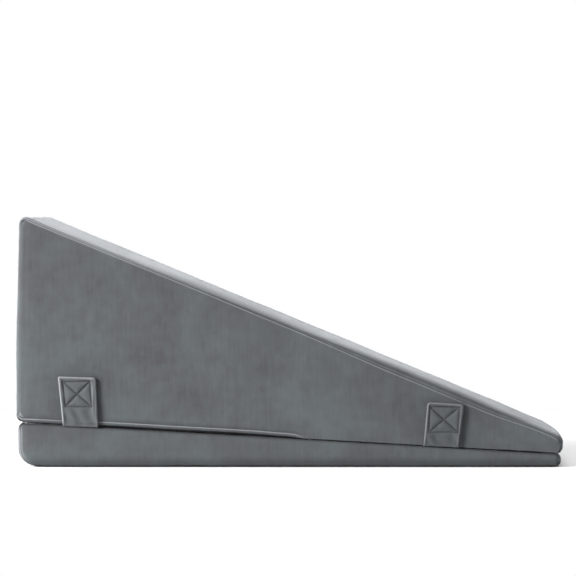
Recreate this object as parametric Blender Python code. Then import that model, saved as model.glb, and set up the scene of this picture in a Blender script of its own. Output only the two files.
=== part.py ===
"""A leg elevation pillow in two layers: a foam wedge in a velvet cover, standing on a
thin tapered base pad, with short velvet tabs that fasten the wedge down to the pad.

Metres, +Z up. The high end is at -X and the thin tip at +X. The origin is on the floor,
under the middle of the pillow.
"""

import math

import bmesh
import bpy
from mathutils import Vector
from mathutils.bvhtree import BVHTree

# Driving dimensions of the pillow
LENGTH = 0.665
WIDTH = 0.510
HEIGHT = 0.3045
SLOPE = math.radians(22.5)
PAD_HIGH = 0.0550
PAD_TIP = 0.0165
PAD_SHORT = 0.0022
GAP = 0.0003

# How far each filled panel swells, and how far a sewn edge stands up
SIDE_CROWN = 0.0035
TOP_CROWN = 0.0025
END_CROWN = 0.0020
HIGH_END_LEAN = 0.0028
SEAM_RIDGE = 0.0011
EDGE_STEPS = 4

# Rounded edges, as radii: each row names the two sides that meet at the edge
WEDGE_EDGES = {
    ("top", "side"): 0.0085,
    ("bottom", "side"): 0.0060,
    ("top", "high end"): 0.0105,
    ("bottom", "high end"): 0.0075,
    ("top", "tip"): 0.0085,
    ("bottom", "tip"): 0.0060,
    ("side", "high end"): 0.0085,
    ("side", "tip"): 0.0060,
}
PAD_EDGES = {
    ("top", "side"): 0.0060,
    ("bottom", "side"): 0.0045,
    ("top", "high end"): 0.0065,
    ("bottom", "high end"): 0.0140,
    ("top", "tip"): 0.0045,
    ("bottom", "tip"): 0.0050,
    ("side", "high end"): 0.0090,
    ("side", "tip"): 0.0050,
}

# Fastening tabs, in the plane of the side panel: the middle of the lower edge from the
# high end, the width there and at the top, the height, and the lean of the top to the tip
TAB_THICK = 0.0026
TAB_CORNER = 0.0045
TAB_TUCK = 0.0012
TAB_SPAN = 0.0024
TABS = {
    "high": {"along": 0.0752, "foot": 0.0430, "head": 0.0465, "height": 0.0590, "lean": -0.0045},
    "low": {"along": 0.5142, "foot": 0.0420, "head": 0.0430, "height": 0.0535, "lean": 0.0065},
}

VELVET_GREY = "#696c70"
TAB_GREY = "#66696d"
VELVET_ROUGHNESS = 0.92


def linear(hex_colour):
    """The linear colour of an sRGB hex value, with an opaque alpha."""
    parts = [int(hex_colour[i : i + 2], 16) / 255 for i in (1, 3, 5)]
    return [((c + 0.055) / 1.055) ** 2.4 if c > 0.04045 else c / 12.92 for c in parts] + [1.0]


def velvet(name, hex_colour):
    """A short-pile velvet."""
    material = bpy.data.materials.new(name)
    material.use_nodes = True
    shader = material.node_tree.nodes["Principled BSDF"]
    shader.inputs["Base Color"].default_value = linear(hex_colour)
    shader.inputs["Roughness"].default_value = VELVET_ROUGHNESS
    shader.inputs["Metallic"].default_value = 0.0
    return material


class Taper:
    """A tapered block seen from the side: its two ends, its lower and its upper line."""

    def __init__(self, high_x, tip_x, lower, upper, half_width):
        self.high_x = high_x
        self.tip_x = tip_x
        self.lower_ends = lower
        self.upper_ends = upper
        self.half_width = half_width

    def share_x(self, x):
        """How far along the block x is, from 0 at the high end to 1 at the tip."""
        return (x - self.high_x) / (self.tip_x - self.high_x)

    def lower(self, x):
        """The height of the underside at x."""
        first, last = self.lower_ends
        return first + (last - first) * self.share_x(x)

    def upper(self, x):
        """The height of the upper side at x."""
        first, last = self.upper_ends
        return first + (last - first) * self.share_x(x)

    def share_z(self, x, z):
        """How high z lies between the two lines, from 0 to 1."""
        return (z - self.lower(x)) / (self.upper(x) - self.lower(x))


def edge_sides(edge):
    """The names of the two sides of a box that meet at an edge, from its corners' signs."""
    first, second = edge.verts
    names = {
        (0, -1): "high end",
        (0, 1): "tip",
        (1, -1): "side",
        (1, 1): "side",
        (2, -1): "bottom",
        (2, 1): "top",
    }
    kept = [a for a in range(3) if abs(first.co[a] - second.co[a]) < 1e-6]
    return {names[(a, round(first.co[a]))] for a in kept}


def edge_offset(radius, inner_angle):
    """How far from a sharp edge its rounding starts, for a radius and the angle inside."""
    return radius / math.tan(inner_angle / 2)


def blank(taper, radii):
    """The block with sharp corners, and on each edge the offset that its rounding needs."""
    bm = bmesh.new()
    bmesh.ops.create_cube(bm, size=2)
    weights = bm.edges.layers.float.new("bevel_weight_edge")
    edge_radius = {
        edge: next(r for pair, r in radii.items() if set(pair) == edge_sides(edge))
        for edge in bm.edges
    }
    for v in bm.verts:
        x = taper.high_x if v.co.x < 0 else taper.tip_x
        z = taper.lower(x) if v.co.z < 0 else taper.upper(x)
        v.co = (x, math.copysign(taper.half_width, v.co.y), z)
    bm.normal_update()
    offsets = {
        edge: edge_offset(r, math.pi - edge.calc_face_angle()) for edge, r in edge_radius.items()
    }
    widest = max(offsets.values())
    for edge, offset in offsets.items():
        edge[weights] = offset / widest
    seams = [
        (edge.verts[0].co.copy(), edge.verts[1].co.copy(), offset)
        for edge, offset in offsets.items()
    ]
    return bm, widest, seams


def rounded(bm, name, widest):
    """The block's mesh once each edge is rounded to its own offset."""
    mesh = bpy.data.meshes.new(name)
    bm.to_mesh(mesh)
    bm.free()
    obj = bpy.data.objects.new(name, mesh)
    bpy.context.scene.collection.objects.link(obj)
    bevel = obj.modifiers.new("Rounded edges", "BEVEL")
    bevel.limit_method = "WEIGHT"
    bevel.width = widest
    bevel.segments = EDGE_STEPS
    done = bpy.data.meshes.new_from_object(obj.evaluated_get(bpy.context.evaluated_depsgraph_get()))
    obj.modifiers.remove(bevel)
    obj.data = done
    bpy.data.meshes.remove(mesh)
    return obj


def cut(bm, point, normal):
    """A row of edges where a plane crosses the block."""
    geometry = bm.verts[:] + bm.edges[:] + bm.faces[:]
    bmesh.ops.bisect_plane(bm, geom=geometry, dist=1e-5, plane_co=point, plane_no=normal)


def divided(bm, taper, radii, counts):
    """Cuts the block's panels into rows, so that they can swell."""
    along, across, upward = counts
    first_x = taper.high_x + 2 * radii[("top", "high end")]
    last_x = taper.tip_x - 2 * radii[("top", "tip")]
    for i in range(along):
        cut(bm, (first_x + (last_x - first_x) * i / (along - 1), 0, 0), (1, 0, 0))
    reach = taper.half_width - 2.5 * radii[("top", "side")]
    for i in range(across):
        cut(bm, (0, reach * (2 * i / (across - 1) - 1), 0), (0, 1, 0))
    floor_edge = radii[("bottom", "side")]
    roof_edge = radii[("top", "side")]
    for i in range(1, upward + 1):
        heights = [
            taper.lower(x)
            + floor_edge
            + (taper.upper(x) - taper.lower(x) - floor_edge - roof_edge) * i / (upward + 1)
            for x in (taper.high_x, taper.tip_x)
        ]
        line = Vector((taper.tip_x - taper.high_x, 0, heights[1] - heights[0]))
        cut(bm, (taper.high_x, 0, heights[0]), line.cross(Vector((0, 1, 0))))


def nearest_seam(point, seams):
    """The distance to the nearest sewn edge, as a share of that edge's rounding."""
    shares = []
    for first, last, offset in seams:
        run = last - first
        t = min(1.0, max(0.0, (point - first).dot(run) / run.length_squared))
        shares.append((point - first - run * t).length / offset)
    return min(shares)


def swell(share):
    """A filled panel's height across it: nothing at its sewn edges, and flat in its middle."""
    inside = min(1.0, max(0.0, share))
    return 1 - abs(2 * inside - 1) ** 3


def soft_block(name, taper, radii, counts, crowns, lean, material):
    """A filled cushion: rounded sewn edges that stand up a little, and swollen panels."""
    bm, widest, seams = blank(taper, radii)
    obj = rounded(bm, name, widest)
    bm = bmesh.new()
    bm.from_mesh(obj.data)
    divided(bm, taper, radii, counts)
    bm.normal_update()
    middle_of_rounding = 0.5
    ridge = {
        v: v.normal * SEAM_RIDGE
        for v in bm.verts
        if nearest_seam(v.co, seams) < middle_of_rounding
    }
    side_crown, top_crown, end_crown = crowns
    for v in bm.verts:
        x, y, z = v.co
        along = taper.share_x(x)
        across = y / taper.half_width
        upward = taper.share_z(x, z)
        v.co.y += across * side_crown * swell(along) * swell(upward)
        v.co.z += top_crown * upward * swell(along) * swell((across + 1) / 2)
        end_swell = end_crown * swell(upward) * swell((across + 1) / 2)
        v.co.x += (1 - along) * (lean * upward**2 - end_swell)
        if v in ridge and z > taper.lower(x):
            v.co += ridge[v]
    bm.to_mesh(obj.data)
    bm.free()
    obj.data.shade_smooth()
    obj.data.materials.clear()
    obj.data.materials.append(material)
    return obj


def side_of(obj):
    """A function that gives how far out the object's -Y side is around a place on it."""
    tree = BVHTree.FromObject(obj, bpy.context.evaluated_depsgraph_get())

    def depth(x, z):
        hits = [
            tree.ray_cast(Vector((x + dx, -WIDTH, z + dz)), Vector((0, 1, 0)))[0]
            for dx in (-TAB_SPAN, 0, TAB_SPAN)
            for dz in (-TAB_SPAN, -TAB_SPAN / 2, 0, TAB_SPAN / 2, TAB_SPAN)
        ]
        return max(-hit.y for hit in hits if hit)

    return depth


def tab(name, sizes, taper, depth, mirror, material):
    """A flat double-velvet tab: it lies on the wedge's side panel, and its foot tucks into
    the groove between the wedge and the pad, where it is sewn into the pad's top seam."""
    foot_x = taper.high_x + sizes["along"]
    foot_z = taper.lower(foot_x)
    bm = bmesh.new()
    corners = [
        (foot_x - sizes["foot"] / 2, foot_z),
        (foot_x + sizes["foot"] / 2, taper.lower(foot_x + sizes["foot"] / 2)),
        (foot_x + sizes["head"] / 2 + sizes["lean"], foot_z + sizes["height"]),
        (foot_x - sizes["head"] / 2 + sizes["lean"], foot_z + sizes["height"]),
    ]
    face = bm.faces.new([bm.verts.new((x, -WIDTH, z)) for x, z in corners])
    out = bmesh.ops.extrude_face_region(bm, geom=[face])
    inner = [v for v in out["geom"] if isinstance(v, bmesh.types.BMVert)]
    bmesh.ops.translate(bm, verts=inner, vec=(0, TAB_THICK, 0))
    bmesh.ops.recalc_face_normals(bm, faces=bm.faces)
    head_edges = [
        e
        for e in bm.edges
        if abs(e.verts[0].co.y - e.verts[1].co.y) > TAB_THICK / 2
        and e.verts[0].co.z > foot_z + sizes["height"] / 2
    ]
    bmesh.ops.bevel(
        bm,
        geom=head_edges,
        offset=TAB_CORNER,
        offset_type="OFFSET",
        affect="EDGES",
        segments=3,
        profile=0.5,
        material=-1,
    )
    for share in (0.02, 0.05, 0.1, 0.2, 0.35, 0.5, 0.65, 0.8):
        cut(bm, (0, 0, foot_z + sizes["height"] * share), (0, 0, 1))
    for share in (0.2, 0.4, 0.6, 0.8):
        cut(bm, (foot_x + sizes["foot"] * (share - 0.5), 0, 0), (1, 0, 0))
    for v in bm.verts:
        on_outside = v.co.y < -WIDTH + TAB_THICK / 2
        surface = depth(v.co.x, max(v.co.z, taper.lower(v.co.x) + TAB_TUCK))
        v.co.y = -(surface + GAP + (TAB_THICK if on_outside else 0))
    if mirror:
        bmesh.ops.scale(bm, vec=(1, -1, 1), verts=bm.verts)
        bmesh.ops.reverse_faces(bm, faces=bm.faces)
    mesh = bpy.data.meshes.new(name)
    bm.to_mesh(mesh)
    bm.free()
    mesh.shade_smooth()
    mesh.set_sharp_from_angle(angle=math.radians(40))
    mesh.materials.append(material)
    obj = bpy.data.objects.new(name, mesh)
    bpy.context.scene.collection.objects.link(obj)
    return obj


def build():
    """The whole pillow."""
    for old in list(bpy.data.objects):
        bpy.data.objects.remove(old)

    high_x = -LENGTH / 2 + END_CROWN
    tip_x = LENGTH / 2
    half_width = WIDTH / 2 - SIDE_CROWN
    high_edge = WEDGE_EDGES[("top", "high end")]
    apex = HEIGHT + high_edge * (math.tan(SLOPE) + 1 / math.cos(SLOPE) - 1)
    wedge = Taper(
        high_x,
        tip_x,
        (PAD_HIGH + GAP, PAD_TIP + GAP),
        (apex, apex - (tip_x - high_x) * math.tan(SLOPE)),
        half_width,
    )
    pad = Taper(
        high_x + PAD_SHORT,
        tip_x - PAD_SHORT,
        (0.0, 0.0),
        (wedge.lower(high_x + PAD_SHORT) - GAP, wedge.lower(tip_x - PAD_SHORT) - GAP),
        half_width,
    )
    cushion = soft_block(
        "wedge_cushion",
        wedge,
        WEDGE_EDGES,
        (12, 9, 5),
        (SIDE_CROWN, TOP_CROWN, END_CROWN),
        HIGH_END_LEAN,
        velvet("Grey velvet, wedge cover", VELVET_GREY),
    )
    soft_block(
        "base_pad",
        pad,
        PAD_EDGES,
        (12, 9, 2),
        (SIDE_CROWN, 0.0, END_CROWN),
        0.0,
        velvet("Grey velvet, pad cover", VELVET_GREY),
    )
    depth = side_of(cushion)
    tab_velvet = velvet("Grey velvet, doubled for a tab", TAB_GREY)
    for place, sizes in TABS.items():
        tab(f"tab_front_{place}", sizes, wedge, depth, False, tab_velvet)
        tab(f"tab_back_{place}", sizes, wedge, depth, True, tab_velvet)


build()
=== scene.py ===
# %% [markdown]
# # A leg elevation pillow in grey velvet
# The pillow is two filled velvet cushions, one on the other: a tall sloping wedge and a
# thin tapered pad that lies on the bed. Short velvet tabs, sewn into the pad's top seam,
# are stitched up the side of the wedge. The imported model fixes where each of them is. This
# lesson sews finer covers round the same places, and gives them pile, seams and thread.

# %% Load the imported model
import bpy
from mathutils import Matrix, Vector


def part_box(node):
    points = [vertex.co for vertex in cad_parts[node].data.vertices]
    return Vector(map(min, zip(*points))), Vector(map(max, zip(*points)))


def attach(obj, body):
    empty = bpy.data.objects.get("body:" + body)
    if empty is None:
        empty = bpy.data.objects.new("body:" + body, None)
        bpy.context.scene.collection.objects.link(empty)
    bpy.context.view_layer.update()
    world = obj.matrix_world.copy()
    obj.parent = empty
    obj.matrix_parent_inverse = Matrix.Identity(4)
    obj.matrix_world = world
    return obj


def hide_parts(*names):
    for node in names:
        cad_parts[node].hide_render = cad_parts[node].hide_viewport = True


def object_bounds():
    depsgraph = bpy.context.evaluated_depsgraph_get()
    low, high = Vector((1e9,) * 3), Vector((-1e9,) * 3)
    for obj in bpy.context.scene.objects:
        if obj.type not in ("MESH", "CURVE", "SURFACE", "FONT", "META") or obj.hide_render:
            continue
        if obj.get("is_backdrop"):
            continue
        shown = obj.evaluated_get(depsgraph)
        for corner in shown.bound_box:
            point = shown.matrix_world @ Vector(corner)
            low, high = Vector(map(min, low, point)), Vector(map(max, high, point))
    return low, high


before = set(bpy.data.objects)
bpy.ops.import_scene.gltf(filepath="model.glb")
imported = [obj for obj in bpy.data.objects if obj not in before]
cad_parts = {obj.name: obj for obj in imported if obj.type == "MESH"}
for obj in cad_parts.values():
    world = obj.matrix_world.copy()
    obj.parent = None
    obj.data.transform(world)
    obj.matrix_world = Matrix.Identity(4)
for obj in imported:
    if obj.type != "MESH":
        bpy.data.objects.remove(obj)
cad_low, cad_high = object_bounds()
print("packed model, metres:", [round(h - l, 4) for l, h in zip(cad_low, cad_high)])

# %% [markdown]
# ## Two small helpers
# Colours are picked on a screen as sRGB hex, but a shader works in linear light, so one
# function turns one into the other. A second one adds a shader node with its settings and
# its links in a single call, which keeps each material readable from top to bottom.

# %% Colour and node helpers
import math

import bmesh
import bpy
from mathutils import Vector, noise
from mathutils.bvhtree import BVHTree

MM = 0.001


def linear(hex_colour):
    """The linear colour of an sRGB hex value, with an opaque alpha."""
    parts = [int(hex_colour[i : i + 2], 16) / 255 for i in (1, 3, 5)]
    return [((c + 0.055) / 1.055) ** 2.4 if c > 0.04045 else c / 12.92 for c in parts] + [1.0]


def add_node(tree, kind, settings=None, inputs=None, links=None):
    """Adds a shader node. inputs holds values by socket, and links holds source sockets."""
    made = tree.nodes.new(kind)
    for name, value in (settings or {}).items():
        setattr(made, name, value)
    for name, value in (inputs or {}).items():
        made.inputs[name].default_value = value
    for name, socket in (links or {}).items():
        tree.links.new(socket, made.inputs[name])
    return made


print("mid grey of the cover, linear:", [round(c, 3) for c in linear("#696c70")[:3]])

# %% [markdown]
# ## The camera
# The picture of the real pillow was taken from the side with a long lens, level with the
# top of the wedge, so its sloping face is only a thin bright strip. A camera is placed by
# two facts: how far away it stands, which sets how much that strip opens, and which point
# of the near side the middle of the picture looks at.

# %% Place the camera
PICTURE_SIDE = 576
MM_PER_PIXEL = 1.218
CAMERA_DISTANCE = 5.16
CAMERA_HEIGHT = 0.3050
SENSOR = 36.0
near_side = cad_low.y
middle_of_picture = Vector((-0.0022, near_side, 0.2186))

camera_data = bpy.data.cameras.new("Side camera")
camera_data.sensor_width = SENSOR
camera_data.lens = SENSOR * CAMERA_DISTANCE / (PICTURE_SIDE * MM_PER_PIXEL * MM)
camera_data.clip_end = 50
camera = bpy.data.objects.new("Side camera", camera_data)
camera.location = (middle_of_picture.x, near_side - CAMERA_DISTANCE, CAMERA_HEIGHT)
camera.rotation_euler = (middle_of_picture - camera.location).to_track_quat("-Z", "Y").to_euler()
bpy.context.scene.collection.objects.link(camera)
bpy.context.scene.camera = camera
print("lens, mm:", round(camera_data.lens, 1))

# %% [markdown]
# ## The outline of each cushion
# Seen from the side, a cushion is a tapered block: a lower line, an upper line and two
# ends. Everything later asks the same questions of it, such as how high the top is at some
# place along it, so the outline is a small class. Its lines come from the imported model's
# boxes. Their heights are drawn in by a hair, because the filling swells the cover again.
# The ends reach a little past the boxes, because the seams later draw the sides' rims in.

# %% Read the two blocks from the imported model
SLOPE = math.radians(22.5)
DRAWN_IN = 0.3 * MM
APEX_RADIUS = 10.5 * MM
SIDES_IN = 2.6 * MM
WEDGE_PAST_HIGH, WEDGE_PAST_TIP = 1.8 * MM, 1.3 * MM
PAD_PAST_HIGH, PAD_PAST_TIP = 1.7 * MM, 0.8 * MM


class Block:
    """A tapered block seen from the side."""

    def __init__(self, high_x, tip_x, lower, upper, half_width):
        self.high_x = high_x
        self.tip_x = tip_x
        self.lower_ends = lower
        self.upper_ends = upper
        self.half_width = half_width

    def share_x(self, x):
        """How far along the block x is, from 0 at the high end to 1 at the tip."""
        return (x - self.high_x) / (self.tip_x - self.high_x)

    def lower(self, x):
        """The height of the underside at x."""
        return self.lower_ends[0] + (self.lower_ends[1] - self.lower_ends[0]) * self.share_x(x)

    def upper(self, x):
        """The height of the upper side at x."""
        return self.upper_ends[0] + (self.upper_ends[1] - self.upper_ends[0]) * self.share_x(x)

    def edge_distances(self, x, z):
        """How far a point of the side panel is from each line of the outline."""
        fall = math.atan2(self.upper_ends[0] - self.upper_ends[1], self.tip_x - self.high_x)
        return {
            "top": max(0.0, (self.upper(x) - z) * math.cos(fall)),
            "bottom": max(0.0, z - self.lower(x)),
            "high": max(0.0, x - self.high_x),
            "tip": max(0.0, self.tip_x - x),
        }


wedge_low, wedge_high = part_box("wedge_cushion")
pad_low, pad_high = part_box("base_pad")
PLAY = 0.3 * MM
PAD_ROOF_AT_TIP = 16.7 * MM
half_width = wedge_high.y - SIDES_IN
apex = wedge_high.z + APEX_RADIUS * (math.tan(SLOPE) + 1 / math.cos(SLOPE) - 1)
wedge_block = Block(
    wedge_low.x - WEDGE_PAST_HIGH,
    wedge_high.x + WEDGE_PAST_TIP,
    (pad_high.z + 2 * PLAY, PAD_ROOF_AT_TIP + PLAY),
    (apex - DRAWN_IN, apex - DRAWN_IN - (wedge_high.x - wedge_low.x) * math.tan(SLOPE)),
    half_width,
)
pad_block = Block(
    pad_low.x - PAD_PAST_HIGH,
    pad_high.x + PAD_PAST_TIP,
    (0.0, 0.0),
    (pad_high.z, PAD_ROOF_AT_TIP - PLAY),
    half_width,
)
for name, block in (("wedge", wedge_block), ("pad", pad_block)):
    print(name, "ends in height, mm:", [round((u - l) / MM, 1) for u, l in
          zip(block.upper_ends, block.lower_ends)])

# %% [markdown]
# ## Cutting and sewing a cover
# A real cover is a side panel on each side, and a strip that runs round between them. The
# mesh is made in the same order. A cube gets the block's corners. Its four edges across are
# rounded, which gives the outline. Then the rim of each side panel is rounded inwards, and
# the line where that rounding meets the flat panel is the seam. Insets add thin rings
# beside the seam for its relief, and planes cut the panels into even cells for the cloth.

# %% Cut the cover
CELL = 8.5 * MM
SEAM_RINGS = (0.6 * MM, 0.6 * MM, 0.7 * MM, 0.7 * MM, 0.7 * MM, 0.8 * MM)
CROSS_CUTS = (-1.1 * MM, -0.4 * MM, 0.4 * MM, 1.1 * MM)
WIDE_CORNER = 20 * MM


def cut(bm, point, normal):
    """A row of edges where a plane crosses the cover."""
    geometry = bm.verts[:] + bm.edges[:] + bm.faces[:]
    bmesh.ops.bisect_plane(bm, geom=geometry, dist=2e-5, plane_co=point, plane_no=normal)


def round_edges(bm, edges, offset, segments):
    """Rounds some edges."""
    bmesh.ops.bevel(
        bm,
        geom=edges,
        offset=offset,
        offset_type="OFFSET",
        affect="EDGES",
        segments=segments,
        profile=0.5,
        material=-1,
        clamp_overlap=False,
    )


def cover(block, radii, roll):
    """A sewn cover's mesh. radii rounds the outline at (high top, high bottom, tip top,
    tip bottom), and roll is how far the strip rolls over each side. The layer "across"
    is how far a point is from the rim of the side panel, which is positive on the panel and
    negative on the strip, and "from_cross" is its distance from a seam across the strip."""
    bm = bmesh.new()
    bmesh.ops.create_cube(bm, size=2)
    for v in bm.verts:
        x = block.high_x if v.co.x < 0 else block.tip_x
        z = block.lower(x) if v.co.z < 0 else block.upper(x)
        v.co = (x, math.copysign(block.half_width, v.co.y), z)
    corners = [
        (block.high_x, block.upper(block.high_x), radii[0]),
        (block.high_x, block.lower(block.high_x), radii[1]),
        (block.tip_x, block.upper(block.tip_x), radii[2]),
        (block.tip_x, block.lower(block.tip_x), radii[3]),
    ]
    cross_seams = []
    for x, z, radius in corners:
        edge = next(
            e
            for e in bm.edges
            if all(abs(v.co.x - x) < 1e-6 and abs(v.co.z - z) < 1e-6 for v in e.verts)
        )
        bm.normal_update()
        inner = math.pi - edge.calc_face_angle()
        inward = -(edge.link_faces[0].normal + edge.link_faces[1].normal).normalized()
        middle = Vector((x, 0, z)) + inward * radius * (1 / math.sin(inner / 2) - 1)
        if radius < WIDE_CORNER:
            cross_seams.append((middle, inward, radius))
        round_edges(bm, [edge], radius / math.tan(inner / 2), max(8, round(radius / (2.2 * MM))))

    rims = [
        e
        for e in bm.edges
        if all(abs(abs(v.co.y) - block.half_width) < 1e-6 for v in e.verts)
        and e.verts[0].co.y * e.verts[1].co.y > 0
    ]
    round_edges(bm, rims, roll, 7)

    across = bm.verts.layers.float.new("across")
    for v in bm.verts:
        inward = min(roll, max(0.0, block.half_width - abs(v.co.y)))
        v[across] = -roll * math.acos(1 - inward / roll)
    panels = [f for f in bm.faces if abs(f.normal.y) > 0.999 and len(f.verts) > 6]
    ring_at = 0.0
    for step in SEAM_RINGS:
        ring_at += step
        bmesh.ops.inset_region(bm, faces=panels, thickness=step, use_even_offset=True)
        for f in panels:
            for v in f.verts:
                v[across] = ring_at

    for middle, inward, radius in cross_seams:
        turned = inward.cross(Vector((0, 1, 0)))
        for step in CROSS_CUTS:
            near = [
                f
                for f in bm.faces
                if (f.calc_center_median() * Vector((1, 0, 1)) - middle).length < radius
                and abs(f.normal.y) < 0.999
            ]
            near += list({e for f in near for e in f.edges}) + list({v for f in near for v in f.verts})
            bmesh.ops.bisect_plane(
                bm, geom=near, dist=2e-5, plane_co=middle + turned * step, plane_no=turned
            )

    first_x = block.high_x + radii[0] + 6 * MM
    last_x = block.tip_x - radii[2] - 3 * MM
    steps = round((last_x - first_x) / CELL)
    for i in range(steps + 1):
        cut(bm, (first_x + (last_x - first_x) * i / steps, 0, 0), (1, 0, 0))
    reach = block.half_width - roll - 3 * MM
    steps = round(2 * reach / CELL)
    for i in range(steps + 1):
        cut(bm, (0, reach * (2 * i / steps - 1), 0), (0, 1, 0))
    margin = roll + ring_at + 0.3 * MM
    tall = block.upper(block.high_x) - block.lower(block.high_x) - 2 * margin
    steps = max(2, round(tall / (CELL * 1.3)))
    for i in range(1, steps):
        heights = [
            block.lower(x) + margin + (block.upper(x) - block.lower(x) - 2 * margin) * i / steps
            for x in (block.high_x, block.tip_x)
        ]
        line = Vector((block.tip_x - block.high_x, 0, heights[1] - heights[0]))
        cut(bm, (block.high_x, 0, heights[0]), line.cross(Vector((0, 1, 0))))

    bmesh.ops.remove_doubles(bm, verts=bm.verts, dist=0.12 * MM)
    from_cross = bm.verts.layers.float.new("from_cross")
    for v in bm.verts:
        inward = block.half_width - abs(v.co.y)
        if inward > roll:
            v[across] = roll - roll * math.pi / 2 - inward
        elif inward > 0.01 * MM:
            v[across] = -roll * math.acos(1 - inward / roll)
        elif v[across] > ring_at - 0.01 * MM:
            v[across] = max(ring_at, min(block.edge_distances(v.co.x, v.co.z).values()) - roll)
        flat = v.co * Vector((1, 0, 1))
        v[from_cross] = min((flat - middle).length for middle, _, _ in cross_seams)
    return bm


def mesh_object(name, bm):
    """Puts a finished bmesh in the scene as an object at the origin."""
    mesh = bpy.data.meshes.new(name)
    bm.to_mesh(mesh)
    bm.free()
    mesh.shade_smooth()
    made = bpy.data.objects.new(name, mesh)
    bpy.context.scene.collection.objects.link(made)
    return made


WEDGE_ROLL = 3.0 * MM
WEDGE_RADII = (APEX_RADIUS, 7.6 * MM, 8 * MM, 7.6 * MM)
wedge = mesh_object("wedge_cover", cover(wedge_block, WEDGE_RADII, WEDGE_ROLL))
print("wedge cover:", len(wedge.data.vertices), "points", len(wedge.data.polygons), "faces")

# %% [markdown]
# ## Filling the covers
# The foam inside is a little bigger than its cover, so it pushes the panels out between
# the seams. Cloth simulation does the same: the seams are pinned, air pressure takes the
# place of the foam, and gravity is off. The cloth is given a little spare width, which
# is what makes a panel ripple beside its seam. Foam can't be blown up like a balloon, so
# the distance that any point may move is capped.

# %% Fill a cover
FRAMES = 20
PINNED_WITHIN = 2.6 * MM
TIP_HELD = 12 * MM


def filled(piece, block, pressure, cap, slack):
    """Swells a cover by simulated pressure. Its seams stay, and so do its resting faces."""
    rest = [v.co.copy() for v in piece.data.vertices]
    across = piece.data.attributes["across"].data
    from_cross = piece.data.attributes["from_cross"].data
    still = [
        i
        for i, p in enumerate(rest)
        if abs(across[i].value) < PINNED_WITHIN
        or from_cross[i].value < PINNED_WITHIN
        or p.x > block.tip_x - TIP_HELD
        or p.z < block.lower(p.x) + 0.2 * MM
    ]
    held = piece.vertex_groups.new(name="held by the seams")
    held.add(still, 1.0, "REPLACE")
    filling = piece.modifiers.new("Filling", "CLOTH")
    settings = filling.settings
    settings.vertex_group_mass = held.name
    settings.quality = 4
    settings.mass = 0.3
    settings.tension_stiffness = settings.compression_stiffness = 25
    settings.shear_stiffness = 12
    settings.bending_stiffness = 1.5
    settings.shrink_min = -slack
    settings.use_pressure = True
    settings.uniform_pressure_force = pressure
    settings.effector_weights.gravity = 0
    filling.collision_settings.use_collision = False
    filling.point_cache.frame_end = FRAMES
    scene = bpy.context.scene
    for frame_number in range(1, FRAMES + 1):
        scene.frame_set(frame_number)
    shape = piece.evaluated_get(bpy.context.evaluated_depsgraph_get()).to_mesh()
    moved = [v.co.copy() for v in shape.vertices]
    piece.modifiers.remove(filling)
    reaches = sorted((end - start).length for start, end in zip(rest, moved))
    furthest = reaches[int(0.98 * len(reaches))]
    for v, start, end in zip(piece.data.vertices, rest, moved):
        move = (end - start) * (cap / furthest)
        v.co = start + move * (cap / max(cap, move.length))
    scene.frame_set(1)
    piece.vertex_groups.remove(held)
    print(piece.name, "swelled, mm:", round(furthest / MM, 1), "capped at", round(cap / MM, 1))


filled(wedge, wedge_block, 4.0, 2 * MM, 0.012)

# %% [markdown]
# ## Where the seams run
# A seam isn't always on the rim of the side panel. Under the wedge it lies a little up the
# side and then sinks into the gap below. At the high end it is round the corner, and on the
# pad's upper rim it is hidden in the gap. The sewer's hand also lets the long seam along
# the slope wander by a few millimetres. Short tables say this for each edge.

# %% Seams of both cushions
# For each edge of the side panel: how far the seam lies past the rim (negative is up the
# panel), the height of its lip on the panel, that on the strip, the depth of its groove and
# how far the panel eases in towards the rim, all in millimetres.
WEDGE_SEAMS = {
    "top": (0.0, 0.36, 0.1, 0.3, 0.0),
    "bottom": (-3.7, 0.2, 0.55, 0.55, 0.0),
    "high": (6.0, 0.3, 0.3, 0.6, 2.2),
    "tip": (1.5, 0.15, 0.15, 0.3, 1.2),
}
PAD_SEAMS = {
    "top": (4.4, 0.3, 0.3, 0.5, 0.0),
    "bottom": (0.2, 0.1, 0.05, 0.15, 0.8),
    "high": (-1.0, 0.2, 0.25, 0.15, 3.0),
    "tip": (1.5, 0.1, 0.1, 0.2, 1.0),
}

# How far the seam drops below its usual line at a place along the cushion, in
# millimetres: x, on the side with the tabs that the picture shows, on the far side.
SLOPE_DROPS = [
    (-330, 0.2, 0.6),
    (-285, -0.5, 0.9),
    (-234, -1.0, -0.2),
    (-106, -1.4, 1.2),
    (12, -0.9, 2.0),
    (128, 1.6, -0.2),
    (238, 2.1, 1.3),
    (310, -1.5, -0.6),
    (332, -0.6, -0.3),
]
UNDER_DROPS = [
    (-332, 1.2, 1.3),
    (-285, 0.9, 0.9),
    (-230, -0.3, 0.8),
    (-50, -0.2, 1.0),
    (0, 0.8, 2.4),
    (28, 5.6, 5.8),
    (332, 6.4, 6.4),
]
PAD_TOP_DROPS = [(-332, -1.2, -1.2), (332, -1.2, -1.2)]
PAD_UNDER_DROPS = [(-332, 0.4, 0.4), (332, 0.4, 0.4)]

# How the top swells up from its rims, in millimetres: x, how high, over what distance.
CROWNS = [
    (-332, 0.6, 30),
    (-230, 1.6, 28),
    (-109, 4.2, 24),
    (12, 3.8, 18),
    (134, 5.2, 15),
    (256, 4.8, 14),
    (332, 2.8, 14),
]
PAD_CROWNS = [(-332, 0.0, 30), (332, 0.0, 30)]


def from_table(rows, x, column):
    """The eased value between the rows of a table, in metres."""
    x = min(max(x / MM, rows[0][0]), rows[-1][0])
    before, after = next(pair for pair in zip(rows, rows[1:]) if x <= pair[1][0])
    share = (x - before[0]) / (after[0] - before[0])
    share = share * share * (3 - 2 * share)
    return (before[column] + (after[column] - before[column]) * share) * MM


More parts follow.
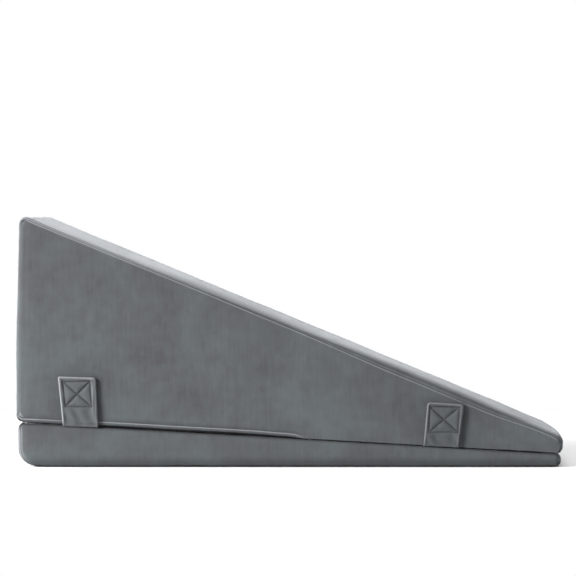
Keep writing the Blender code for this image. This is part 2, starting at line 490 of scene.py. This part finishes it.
for x in (-200, 12, 240):
    print("slope seam drops, mm:", x, round(from_table(SLOPE_DROPS, x * MM, 1) / MM, 2))

# %% [markdown]
# ## Lips, stitch lines and puckers
# Velvet is thick, so where two panels are sewn with their edges turned in, each one rolls
# over into a small lip, with a dark line of stitches sunk between them. The thread also
# gathers the cloth a little, which leaves short puckers that die out within a finger's
# width, and a small pit at each corner where three seams meet. One more subdivision gives
# the rings enough points for this.
#
# The first loop lays the cover: the seams drop as the tables say, the panels ease in
# towards their rims, the top swells up from them, and the cushions part a little where
# wedge and pad meet. The second loop moves each point by how far it is from the seam, and
# notes where a highlight is painted on the lips and rims and where shade is painted: in the
# grooves and pits, in the gap between the cushions, low on the pad and beside the tabs.

# %% Sew the seams
LIP_AT = 1.25 * MM
LIP_WIDTH = 0.65 * MM
GROOVE_WIDTH = 0.5 * MM
CROSS_GROOVE = 0.5 * MM
CORNER_PIT = 1.3 * MM
CORNER_REACH = 5.5 * MM
PUCKER = 0.5 * MM
PUCKER_REACH = 9 * MM
ALONG_SEAM = 10 * MM
ACROSS_SEAM = 34 * MM
RIPPLE = 0.7 * MM
RIPPLE_LENGTH = 75 * MM
EASE_REACH = 5 * MM
STRIP_REACH = 40 * MM
CROWN_AT_FAR = 0.1
SOFT_CORNER = 2.4 * MM
SLOPE_RIM_HIGHLIGHT = 0.6
TIP_CROWN = 4.5 * MM
TIP_LIFT = 0.8 * MM
HIGH_END_LEAN = 3.5 * MM
LEAN_FROM = 130 * MM
SWEEP = 6.5 * MM
BED_SHADE_UP_TO = 15 * MM
BED_SHADE = 0.5
TAB_SHADE = 0.16
TAB_SHADE_REACH = 15 * MM
TAB_LOW_SIDE_SHADE = 0.5
TAB_LOW_SIDE_REACH = 8 * MM
EDGE_BLEND = 2.5 * MM
SLOPE_RIM_HIGHLIGHT_FROM_X = -0.06
SLOPE_RIM_HIGHLIGHT_OVER = 0.18
SLOT = 1.2 * MM
SLOT_REACH = 9 * MM
GAP_SHADE_FROM = {"wedge bottom": 1.5 * MM, "pad top": 4.0 * MM, "pad bottom": 2.0 * MM}
DROP_REACH = 15 * MM


def subdivided(piece):
    """Applies one level of subdivision."""
    finer = piece.modifiers.new("Finer", "SUBSURF")
    finer.levels = finer.render_levels = 1
    done = bpy.data.meshes.new_from_object(
        piece.evaluated_get(bpy.context.evaluated_depsgraph_get())
    )
    piece.modifiers.remove(finer)
    piece.data = done
    piece.data.shade_smooth()


def smooth_step(share):
    """Eases a share from 0 to 1."""
    share = min(1.0, max(0.0, share))
    return share * share * (3 - 2 * share)


def bell(distance, width):
    """A soft bump, 1 in the middle."""
    return math.exp(-((distance / width) ** 2))


TAB_BOXES = [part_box(name) for name in ("tab_front_high", "tab_front_low")]


def shade_of_tabs(x, z):
    """How much shade is painted beside the tabs, most as a painted shadow on their low side."""
    shade = 0.0
    for low, high in TAB_BOXES:
        aside = max(low.x - x, x - high.x, 0.0)
        above = max(z - high.z, 0.0)
        near = math.exp(-math.hypot(aside, above) / TAB_SHADE_REACH)
        shade = max(shade, TAB_SHADE * near)
        past = x - high.x + 3 * MM
        if past > 0:
            cast = math.exp(-past / TAB_LOW_SIDE_REACH) * smooth_step(1 - above / (5 * MM))
            shade = max(shade, TAB_LOW_SIDE_SHADE * cast)
    return shade


def sewn(piece, block, seams, top_drops, under_drops, crowns, roll):
    """Lays the seams of a cover, with lips, a groove, corner pits and puckers. Two layers tell
    the velvet where a highlight is painted on lips and rims and where shade is painted."""
    subdivided(piece)
    bm = bmesh.new()
    bm.from_mesh(piece.data)
    painted_highlight = bm.verts.layers.float.new("painted_highlight")
    painted_shade = bm.verts.layers.float.new("painted_shade")
    across = bm.verts.layers.float["across"]
    from_cross = bm.verts.layers.float["from_cross"]
    wrap = roll * math.pi / 2
    crevices = ("wedge bottom",) if block is wedge_block else ("pad top", "pad bottom")
    nearness = {}
    slots = {}
    shades = {}
    for v in bm.verts:
        edges_at = block.edge_distances(v.co.x, v.co.z)
        weights = {name: math.exp(-d / EDGE_BLEND) for name, d in edges_at.items()}
        if block is wedge_block and v.co.x < 0:
            weights["bottom"] = math.exp((SWEEP - edges_at["bottom"]) / EDGE_BLEND)
        total = sum(weights.values())
        nearness[v] = {name: w / total for name, w in weights.items()}
        column = 2 if v.co.y > 0 else 1
        a = v[across]
        follow = smooth_step(1 + a / wrap) if a < 0 else smooth_step(1 - (a - 3 * MM) / DROP_REACH)
        drop = from_table(top_drops, v.co.x, column) * nearness[v]["top"]
        drop += from_table(under_drops, v.co.x, column) * nearness[v]["bottom"]
        v.co.z -= drop * follow
        side = math.copysign(1, v.co.y)
        ease = sum(nearness[v][name] * row[4] for name, row in seams.items()) * MM
        if block is pad_block:
            ease += SOFT_CORNER * nearness[v]["bottom"] * math.exp(-edges_at["high"] / (16 * MM))
        ease *= math.exp(-max(a, -wrap) / EASE_REACH) * smooth_step(1 + (a + wrap) / STRIP_REACH)
        v.co.y -= side * ease
        middle = 1 - (v.co.y / block.half_width) ** 2
        v.co.x += TIP_CROWN * middle * math.exp(-edges_at["tip"] / (20 * MM))
        on_top = math.exp(-edges_at["top"] / (6 * MM)) if a < 0 else 0.0
        inward = max(0.0, block.half_width - abs(v.co.y))
        crown = from_table(crowns, v.co.x, 1) * (1 - math.exp(-inward / from_table(crowns, v.co.x, 2)))
        towards_near = smooth_step(0.5 - v.co.y / block.half_width / 2)
        v.co.z += crown * on_top * (CROWN_AT_FAR + (1 - CROWN_AT_FAR) * towards_near)
        opened_and_highlighted = smooth_step(-a / wrap) * math.exp(-max(0.0, inward - roll) / SLOT_REACH)
        slots[v] = SLOT * opened_and_highlighted
        shades[v] = 0.0
        # Painted shade in the gap between wedge and pad and along the pad's foot on the bed.
        for crevice in crevices:
            edge = crevice.split()[1]
            close = bell(edges_at[edge], 4 * MM + 5 * MM * math.exp(-edges_at["high"] / (14 * MM)))
            v.co.z += slots[v] * close * (1 if edge == "bottom" else -1)
            begins = GAP_SHADE_FROM[crevice]
            shade = close * smooth_step((begins - a) / (begins + 0.5 * wrap))
            shades[v] = max(shades[v], shade)
        # Painted shade low on the pad towards the bed, and painted shade and shadow beside the tabs on the
        # wedge.
        if block is pad_block:
            shades[v] = max(shades[v], BED_SHADE * smooth_step(1 - v.co.z / BED_SHADE_UP_TO))
        else:
            shades[v] = max(shades[v], shade_of_tabs(v.co.x, v.co.z))
        v.co.z += TIP_LIFT * middle * on_top * math.exp(-edges_at["tip"] / (90 * MM))
        lean = smooth_step((v.co.z - LEAN_FROM) / (cad_high.z - LEAN_FROM))
        v.co.x += HIGH_END_LEAN * lean * math.exp(-edges_at["high"] / (25 * MM))

    bm.normal_update()
    moves = {}
    for v in bm.verts:
        near = nearness[v]
        seat, panel_lip, strip_lip, groove = (
            sum(near[name] * row[i] for name, row in seams.items()) * MM for i in range(4)
        )
        hidden = from_table(under_drops, v.co.x, 2 if v.co.y > 0 else 1) * near["bottom"] / MM
        shown = 1 - smooth_step((hidden - 1.4) / 3)
        panel_lip, strip_lip, groove = panel_lip * shown, strip_lip * shown, groove * shown
        s = v[across] + seat
        c = v[from_cross]
        on_strip = smooth_step(-v[across] / wrap)
        rise = panel_lip * bell(s - LIP_AT, LIP_WIDTH) + strip_lip * bell(s + LIP_AT, LIP_WIDTH)
        rise -= groove * bell(s, GROOVE_WIDTH)
        # Painted highlight on the seam lips, made stronger near the high end, and a broad painted
        # highlight along the high part of the slope's rim.
        corner_gleam = 1 + 1.5 * math.exp(-block.edge_distances(v.co.x, v.co.z)["high"] / (9 * MM))
        brushed_and_highlighted = SLOPE_RIM_HIGHLIGHT * near["top"] * bell(s + 1.6 * MM, 2.4 * MM)
        brushed_and_highlighted *= smooth_step((SLOPE_RIM_HIGHLIGHT_FROM_X - v.co.x) / SLOPE_RIM_HIGHLIGHT_OVER)
        v[painted_highlight] = min(1.0, corner_gleam * max(0.0, rise) / (0.7 * MM) + brushed_and_highlighted)
        depth = groove / (0.7 * MM)
        # Painted shade in the seam groove, partly its dark stitch line and partly shade, and in the corner
        # pits.
        pit = bell(v[across] - 0.3 * MM, 1.0 * MM) * bell(c, CORNER_REACH)
        v[painted_shade] = min(1.0, max(0.4 * depth * bell(s, GROOVE_WIDTH), pit, shades[v]))
        rise -= on_strip * CROSS_GROOVE * bell(c, 0.9 * MM) + CORNER_PIT * pit
        along = near["top"] + near["bottom"] > 0.5
        x_step = ALONG_SEAM if along else ACROSS_SEAM
        z_step = ACROSS_SEAM if along else ALONG_SEAM
        place = Vector((v.co.x / x_step, v.co.y / ACROSS_SEAM, v.co.z / z_step))
        gathered = PUCKER * (1 + 1.6 * math.exp(-(block.tip_x - v.co.x) / (22 * MM)))
        rise += noise.noise(place) * gathered * math.exp(-abs(s) / PUCKER_REACH)
        rise += noise.noise(v.co / RIPPLE_LENGTH) * RIPPLE
        moves[v] = v.normal * rise
    for v, move in moves.items():
        floor = block.lower(v.co.x) + slots[v] * (v.co.z < block.lower(v.co.x) + roll)
        under = v.co.z < floor + 0.3 * MM
        v.co += move
        if under or v.co.z < floor:
            v.co.z = floor
    bm.to_mesh(piece.data)
    bm.free()
    piece.data.calc_loop_triangles()
    print(piece.name, "triangles:", len(piece.data.loop_triangles))


sewn(wedge, wedge_block, WEDGE_SEAMS, SLOPE_DROPS, UNDER_DROPS, CROWNS, WEDGE_ROLL)

# %% [markdown]
# ## The pad
# The pad is cut and filled in the same way, with a softer lower corner at its high end. It
# is pressed flat between the wedge and the bed, so only its ends and sides can swell.

# %% Make the pad
PAD_ROLL = 2.8 * MM
PAD_RADII = (7.2 * MM, 23 * MM, 7.2 * MM, 7.2 * MM)
pad = mesh_object("pad_cover", cover(pad_block, PAD_RADII, PAD_ROLL))
filled(pad, pad_block, 3.0, 2.0 * MM, 0.01)
sewn(pad, pad_block, PAD_SEAMS, PAD_TOP_DROPS, PAD_UNDER_DROPS, PAD_CROWNS, PAD_ROLL)
for v in pad.data.vertices:
    v.co.z = min(v.co.z, pad_block.upper(v.co.x))

# %% [markdown]
# ## Velvet
# The cover is polyester velvet: a short dense pile, woven and sheared even. It traps light
# when it is looked at straight on and gives it back at a low angle, which is what sheen
# does in the shader. Where a hand has brushed it, the pile leans another way and
# shows as a soft cloud, a little lighter or darker.

# %% Velvet material
VELVET_DARK = "#434346"
VELVET_LIGHT = "#4e5354"
# The next two colours are painted highlights: one for the seam lips and the slope's rim on the covers, one
# for the rolled rims and inner edges of the tabs.
LIP_HIGHLIGHT = "#808286"
TAB_RIM_HIGHLIGHT = "#7d7f83"
# Painted shade colour: it darkens seam grooves and stitch lines, partly their dark thread and partly
# shade, and paints shade in pits, crevices, low on the pad and beside the tabs.
SEAM_SHADE = "#0c0c0d"
CLOUD = 90 * MM
BRUSHED = 14 * MM
STREAK = 3.5 * MM
STREAK_LENGTH = 28 * MM
PILE = 1.1 * MM


def velvet(name, highlight_colour):
    """Short-pile velvet, with clouds where the pile leans another way, and painted highlights and shade.
    """
    material = bpy.data.materials.new(name)
    material.use_nodes = True
    tree = material.node_tree
    shader = tree.nodes["Principled BSDF"]
    place = add_node(tree, "ShaderNodeTexCoord").outputs["Object"]
    clouds = add_node(
        tree,
        "ShaderNodeTexNoise",
        inputs={"Scale": 1 / CLOUD, "Detail": 3.0, "Roughness": 0.55, "Distortion": 0.6},
        links={"Vector": place},
    )
    brushed_and_highlighted = add_node(
        tree,
        "ShaderNodeTexNoise",
        inputs={"Scale": 1 / BRUSHED, "Detail": 2.0, "Roughness": 0.5},
        links={"Vector": place},
    )
    both = add_node(
        tree,
        "ShaderNodeMix",
        {"data_type": "FLOAT"},
        {"Factor": 0.3},
        {"A": clouds.outputs["Fac"], "B": brushed_and_highlighted.outputs["Fac"]},
    )
    tall = add_node(
        tree,
        "ShaderNodeMapping",
        inputs={"Scale": (1 / STREAK, 1 / STREAK, 1 / STREAK_LENGTH)},
        links={"Vector": place},
    )
    streaks = add_node(
        tree,
        "ShaderNodeTexNoise",
        inputs={"Scale": 1.0, "Detail": 3.0, "Roughness": 0.6},
        links={"Vector": tall.outputs["Vector"]},
    )
    streaked = add_node(
        tree,
        "ShaderNodeMix",
        {"data_type": "FLOAT"},
        {"Factor": 0.22},
        {"A": both.outputs["Result"], "B": streaks.outputs["Fac"]},
    )
    ramp = add_node(tree, "ShaderNodeValToRGB", links={"Fac": streaked.outputs["Result"]})
    ramp.color_ramp.elements[0].position = 0.36
    ramp.color_ramp.elements[0].color = linear(VELVET_DARK)
    ramp.color_ramp.elements[1].position = 0.64
    ramp.color_ramp.elements[1].color = linear(VELVET_LIGHT)
    pile = add_node(
        tree,
        "ShaderNodeTexNoise",
        inputs={"Scale": 1 / PILE, "Detail": 2.0, "Roughness": 0.6},
        links={"Vector": place},
    )
    bump = add_node(
        tree,
        "ShaderNodeBump",
        inputs={"Strength": 0.35, "Distance": 0.4 * MM},
        links={"Height": pile.outputs["Fac"]},
    )
    # Two layers paint a highlight colour onto lips and rims and a shade colour into grooves, crevices and
    # shadows.
    painted_highlight = add_node(tree, "ShaderNodeAttribute", {"attribute_name": "painted_highlight"}).outputs["Fac"]
    painted_shade = add_node(tree, "ShaderNodeAttribute", {"attribute_name": "painted_shade"}).outputs["Fac"]
    opened_and_highlighted = add_node(
        tree,
        "ShaderNodeMix",
        {"data_type": "RGBA"},
        links={"Factor": painted_highlight, 6: ramp.outputs["Color"]},
    )
    opened_and_highlighted.inputs[7].default_value = linear(highlight_colour)
    shaded = add_node(
        tree,
        "ShaderNodeMix",
        {"data_type": "RGBA"},
        links={"Factor": painted_shade, 6: opened_and_highlighted.outputs[2]},
    )
    shaded.inputs[7].default_value = linear(SEAM_SHADE)
    tree.links.new(shaded.outputs[2], shader.inputs["Base Color"])
    tree.links.new(bump.outputs["Normal"], shader.inputs["Normal"])
    shader.inputs["Roughness"].default_value = 0.95
    shader.inputs["Specular IOR Level"].default_value = 0.15
    shader.inputs["Sheen Weight"].default_value = 0.47
    shader.inputs["Sheen Roughness"].default_value = 0.25
    shader.inputs["Sheen Tint"].default_value = linear("#c9ccd0")
    return material


cover_velvet = velvet("Grey polyester velvet, woven and sheared", LIP_HIGHLIGHT)
for piece, node_name in ((wedge, "wedge_cushion"), (pad, "base_pad")):
    piece.data.materials.append(cover_velvet)
    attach(piece, "root")
    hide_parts(node_name)

# %% [markdown]
# ## The tabs
# Each tab is a strip of the same velvet, doubled with its edges turned in, so it has a thick
# rolled rim. Its foot is caught in the pad's top seam, and its head is stitched to the
# wedge with a box and a cross, the strongest way to sew a strap. The stitches pull the
# cloth down, the fields between them puff up, and below the box the cloth drags into
# slanting folds. The sheet is cut flat first. Then rays find the side that it lies on.

# %% Cut and lay the tabs
TAB_THICK = 3.2 * MM
TAB_RINGS = (0.3 * MM, 0.4 * MM, 0.5 * MM, 0.6 * MM, 0.7 * MM)
TAB_CELL = 2.2 * MM
RIM = 1.3 * MM
HEM = 2.0 * MM
STITCH_PULL = 1.0 * MM
BRIDGED = 2.4 * MM
LIFTED = 1.8 * MM

# In millimetres from the tab's upper left corner: the corners of its outline and of its box
# of stitches, from the upper left one clockwise, how far its upper corners are rounded, and
# how far in from the right edge its turned-in cloth ends. "strong" says which diagonal of
# the cross is pulled deeper, "gleam" how strong the highlight painted on its rims is, and
# "shade" how much painted shade darkens the whole tab.
HIGH_TAB = {
    "outline": [(-0.5, 0.9), (46.2, -0.7), (49.2, -61.6), (5.7, -60.0)],
    "box": [(5.8, -5.4), (38.8, -5.4), (41.3, -36.4), (9.2, -35.8)],
    "rounded": 2.9,
    "strong": 1,
    "turned_in": 5.6,
    "gleam": 0.8,
    "shade": 0.0,
}
LOW_TAB = {
    "outline": [(5.1, 0.6), (50.2, -2.4), (43.2, -55.0), (0.2, -53.2)],
    "box": [(8.4, -5.3), (44.0, -5.9), (42.6, -36.2), (7.2, -36.2)],
    "rounded": 4.2,
    "strong": 0,
    "turned_in": 1.6,
    "gleam": 0.45,
    "shade": 0.16,
}

cushions = [
    BVHTree.FromObject(piece, bpy.context.evaluated_depsgraph_get()) for piece in (wedge, pad)
]


def side_surface(x, z, side, spread=BRIDGED):
    """How far out the cushions' side is at a place. A stiff tab bridges what is narrow."""
    furthest = 0.0
    for dx, dz in ((0, 0), (0, spread), (0, -spread), (spread, 0), (-spread, 0)):
        for cushion in cushions:
            hit = cushion.ray_cast(Vector((x + dx, side, z + dz)), Vector((0, -side, 0)))
            if hit[0] is not None:
                furthest = max(furthest, abs(hit[0].y))
    return furthest


def from_segment(point, start, end):
    """The distance of a flat point from a line of stitches."""
    line = end - start
    share = min(1.0, max(0.0, (point - start).dot(line) / line.length_squared))
    return (point - start - line * share).length


def stitch_lines(corner, cut_to):
    """The lines of the box and its cross, as pairs of flat points."""
    a, b, c, d = (corner + Vector(offset) * MM for offset in cut_to["box"])
    return [(a, b), (b, c), (c, d), (d, a), (a, c), (b, d)]


def tab_cloth(name, corner, cut_to, side):
    """A tab's doubled cloth, laid on the cushions' side."""
    bm = bmesh.new()
    bmesh.ops.create_grid(bm, x_segments=1, y_segments=1, size=1)
    turn = [(-1, 1), (1, 1), (1, -1), (-1, -1)]
    upper = [v for v in bm.verts if v.co.y > 0]
    for v in bm.verts:
        flat = corner + Vector(cut_to["outline"][turn.index((round(v.co.x), round(v.co.y)))]) * MM
        v.co = (flat.x, 0, flat.y)
    bmesh.ops.bevel(
        bm,
        geom=upper,
        offset=cut_to["rounded"] * MM,
        offset_type="OFFSET",
        affect="VERTICES",
        segments=5,
        profile=0.5,
        material=-1,
    )
    from_rim = bm.verts.layers.float.new("from_rim")
    panel = bm.faces[:]
    ring_at = 0.0
    for step in TAB_RINGS:
        ring_at += step
        bmesh.ops.inset_region(
            bm, faces=panel, thickness=step, use_even_offset=True, use_boundary=True
        )
        for f in panel:
            for v in f.verts:
                v[from_rim] = ring_at
    lines = stitch_lines(corner, cut_to)
    for start, end in lines:
        across = Vector((end.y - start.y, start.x - end.x)).normalized()
        for step in (-0.8 * MM, 0, 0.8 * MM):
            place = start + across * step
            cut(bm, (place.x, 0, place.y), (across.x, 0, across.y))
    low_x, high_x = min(v.co.x for v in bm.verts), max(v.co.x for v in bm.verts)
    low_z, high_z = min(v.co.z for v in bm.verts), max(v.co.z for v in bm.verts)
    for i in range(1, round((high_x - low_x) / TAB_CELL)):
        cut(bm, (low_x + TAB_CELL * i, 0, 0), (1, 0, 0))
    for i in range(1, round((high_z - low_z) / TAB_CELL)):
        cut(bm, (0, 0, low_z + TAB_CELL * i), (0, 0, 1))

    painted_highlight = bm.verts.layers.float.new("painted_highlight")
    painted_shade = bm.verts.layers.float.new("painted_shade")
    front = bm.verts[:]
    corners = [corner + Vector(offset) * MM for offset in cut_to["outline"]]
    outline = list(zip(corners, corners[1:] + corners[:1]))
    right_edge, foot = outline[1:3]
    box_foot = corner.y + cut_to["box"][2][1] * MM
    back = bmesh.ops.duplicate(bm, geom=bm.verts[:] + bm.edges[:] + bm.faces[:])
    bmesh.ops.reverse_faces(bm, faces=[f for f in back["geom"] if isinstance(f, bmesh.types.BMFace)])
    for v in [v for v in back["geom"] if isinstance(v, bmesh.types.BMVert)]:
        lifted = LIFTED * (1 - smooth_step(from_segment(v.co.xz, *right_edge) / (11 * MM)))
        v.co.y = side * (side_surface(v.co.x, v.co.z, side) + 0.1 * MM + lifted)
    for v in front:
        flat = Vector((v.co.x, v.co.z))
        d = v[from_rim]
        if d > ring_at - 0.01 * MM:
            d = max(d, min(from_segment(flat, *edge) for edge in outline))
        turned = smooth_step(from_segment(flat, *foot) / (9 * MM))
        rim = math.sqrt(1 - (1 - min(d / RIM, 1.0)) ** 2)
        height = TAB_THICK * (0.25 + 0.75 * rim) + 0.55 * MM * turned * bell(d - HEM, 1.1 * MM)
        line_near = min(from_segment(flat, *line) for line in lines)
        strong = from_segment(flat, *lines[4 + cut_to["strong"]])
        height -= STITCH_PULL * bell(line_near, 0.75 * MM)
        height -= 0.6 * MM * bell(strong, 0.9 * MM)
        from_right = from_segment(flat, *right_edge)
        height += LIFTED * (1 - smooth_step(from_right / (11 * MM)))
        if flat.y > box_foot and d > 3 * MM:
            height += 1.0 * MM * smooth_step(line_near / (4.5 * MM))
        below = smooth_step((box_foot - flat.y) / (6 * MM)) * smooth_step(d / (4 * MM))
        slant = (flat.x - corner.x) * 0.86 + (flat.y - corner.y) * 0.5
        height += below * 0.7 * MM * math.sin(slant / (2.6 * MM) + 3 * noise.noise(v.co / (25 * MM)))
        height += 0.35 * MM * noise.noise(v.co / (14 * MM)) * smooth_step(d / (3 * MM))
        inner_edge = bell(from_right - cut_to["turned_in"] * MM, 0.8 * MM) * smooth_step(d / (3 * MM))
        inner_edge *= smooth_step((flat.y - box_foot) / (16 * MM) + 0.7)
        height += 0.4 * MM * inner_edge
        # Painted highlight on the rolled rim and along the inner turned edge.
        lit_rim = bell(d - 0.9 * MM, 1.1 * MM) * (0.3 + 0.7 * smooth_step(from_right / (9 * MM)))
        v[painted_highlight] = cut_to["gleam"] * max(turned * lit_rim, 0.35 * inner_edge)
        # Painted shade along the stitch lines, partly their dark thread and partly shade, under the hem,
        # and over the whole of a darker tab.
        at_hem = 0.5 * bell(d - 4.0 * MM, 0.6 * MM) * turned
        v[painted_shade] = max(0.9 * bell(line_near, 0.55 * MM), at_hem, cut_to["shade"])
        v.co.y = side * (side_surface(v.co.x, v.co.z, side) + height)
    bmesh.ops.bridge_loops(bm, edges=[e for e in bm.edges if e.is_boundary])
    bmesh.ops.recalc_face_normals(bm, faces=bm.faces)
    made = mesh_object(name, bm)
    subdivided(made)
    return made


STITCH = 2.9 * MM
STITCH_GAP = 0.5 * MM
THREAD_RADIUS = 0.24 * MM


def tab_stitches(name, cloth, corner, cut_to, side):
    """The stitches of a tab's box and cross, each a short sunken capsule of thread."""
    surface = BVHTree.FromObject(cloth, bpy.context.evaluated_depsgraph_get())
    bm = bmesh.new()
    for start, end in stitch_lines(corner, cut_to):
        line = end - start
        count = round(line.length / (STITCH + STITCH_GAP))
        for i in range(count):
            flat = start + line * ((i + 0.5) / count)
            hit = surface.ray_cast(Vector((flat.x, side, flat.y)), Vector((0, -side, 0)))
            made = bmesh.ops.create_uvsphere(bm, u_segments=6, v_segments=5, radius=1)["verts"]
            bmesh.ops.scale(bm, verts=made, vec=(THREAD_RADIUS, THREAD_RADIUS, STITCH / 2))
            turned = Vector((line.x, 0, line.y)).to_track_quat("Z", "Y").to_matrix()
            bmesh.ops.rotate(bm, verts=made, matrix=turned)
            bmesh.ops.translate(bm, verts=made, vec=hit[0] + Vector((0, side * 0.05 * MM, 0)))
    return mesh_object(name, bm)


thread_material = bpy.data.materials.new("Dark grey polyester sewing thread")
thread_material.use_nodes = True
thread_shader = thread_material.node_tree.nodes["Principled BSDF"]
thread_shader.inputs["Base Color"].default_value = linear("#4a4b4e")
thread_shader.inputs["Roughness"].default_value = 0.55
tab_velvet = velvet("Grey polyester velvet, doubled for the tabs", TAB_RIM_HIGHLIGHT)

for node_name, cut_to, side in (
    ("tab_front_high", HIGH_TAB, -1),
    ("tab_front_low", LOW_TAB, -1),
    ("tab_back_high", HIGH_TAB, 1),
    ("tab_back_low", LOW_TAB, 1),
):
    low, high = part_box(node_name)
    corner = Vector((low.x, high.z))
    cloth = tab_cloth(node_name + "_cloth", corner, cut_to, side)
    cloth.data.materials.append(tab_velvet)
    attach(cloth, "root")
    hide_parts(node_name)
    stitches = tab_stitches(node_name + "_stitches", cloth, corner, cut_to, side)
    stitches.data.materials.append(thread_material)
    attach(stitches, "root")
    print(node_name, "cloth faces:", len(cloth.data.polygons), "stitch faces:",
          len(stitches.data.polygons))

# %% [markdown]
# ## Floor and light
# A wide pale disc stands in for the bed. Behind it is a plain white backdrop, and the room
# in front is dimmer, so the side stays darker than the sloping top. The key light comes from
# the left at a low, grazing angle: it picks out the folded edges of the tabs and lays a soft
# shade on their right. A large light overhead lifts the slope and the floor, and a weak one
# at the high end brightens that edge.

# %% Studio
FLOOR_RADIUS = 1.3

bm = bmesh.new()
bmesh.ops.create_circle(bm, cap_ends=True, segments=64, radius=FLOOR_RADIUS)
bmesh.ops.translate(bm, verts=bm.verts, vec=(0, 0, -0.2 * MM))
bm.normal_update()
bmesh.ops.reverse_faces(bm, faces=[f for f in bm.faces if f.normal.z < 0])
floor = mesh_object("studio_floor", bm)
paper = bpy.data.materials.new("White background paper")
paper.use_nodes = True
paper.node_tree.nodes["Principled BSDF"].inputs["Base Color"].default_value = linear("#e4e4e4")
paper.node_tree.nodes["Principled BSDF"].inputs["Roughness"].default_value = 0.9
floor.data.materials.append(paper)
floor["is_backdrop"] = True


def soft_light(name, place, aim, size, watts):
    """A square soft light that faces a point."""
    data = bpy.data.lights.new(name, "AREA")
    data.shape = "SQUARE"
    data.size = size
    data.energy = watts
    made = bpy.data.objects.new(name, data)
    made.location = place
    made.rotation_euler = (Vector(aim) - Vector(place)).to_track_quat("-Z", "Y").to_euler()
    bpy.context.scene.collection.objects.link(made)


soft_light("Overhead", (0.4, -0.2, 2.6), (0, 0, 0.1), 2.0, 38)
soft_light("Key", (-3.0, -2.2, 1.35), (-0.05, 0, 0.12), 1.0, 275)
soft_light("High end", (-2.6, -0.1, 0.5), (-0.3, 0, 0.15), 0.8, 90)

FRONT_SHARE = 0.42
world = bpy.data.worlds.new("White backdrop behind, dimmer room in front")
bpy.context.scene.world = world
world.use_nodes = True
sky = world.node_tree
direction = add_node(sky, "ShaderNodeTexCoord").outputs["Generated"]
parts = add_node(sky, "ShaderNodeSeparateXYZ", links={"Vector": direction})
share = add_node(
    sky,
    "ShaderNodeMapRange",
    {"interpolation_type": "SMOOTHSTEP"},
    {"From Min": -0.3, "From Max": 0.6, "To Min": FRONT_SHARE, "To Max": 1.0},
    {"Value": parts.outputs["Y"]},
)
background = sky.nodes["Background"]
background.inputs["Color"].default_value = linear("#ffffff")
sky.links.new(share.outputs["Result"], background.inputs["Strength"])
bpy.context.scene.view_settings.view_transform = "Standard"

# %% Write the sizes and finish
low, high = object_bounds()
print("grown past the packed box, mm:", [round(v / MM, 1) for v in (*(cad_low - low), *(high - cad_high))])
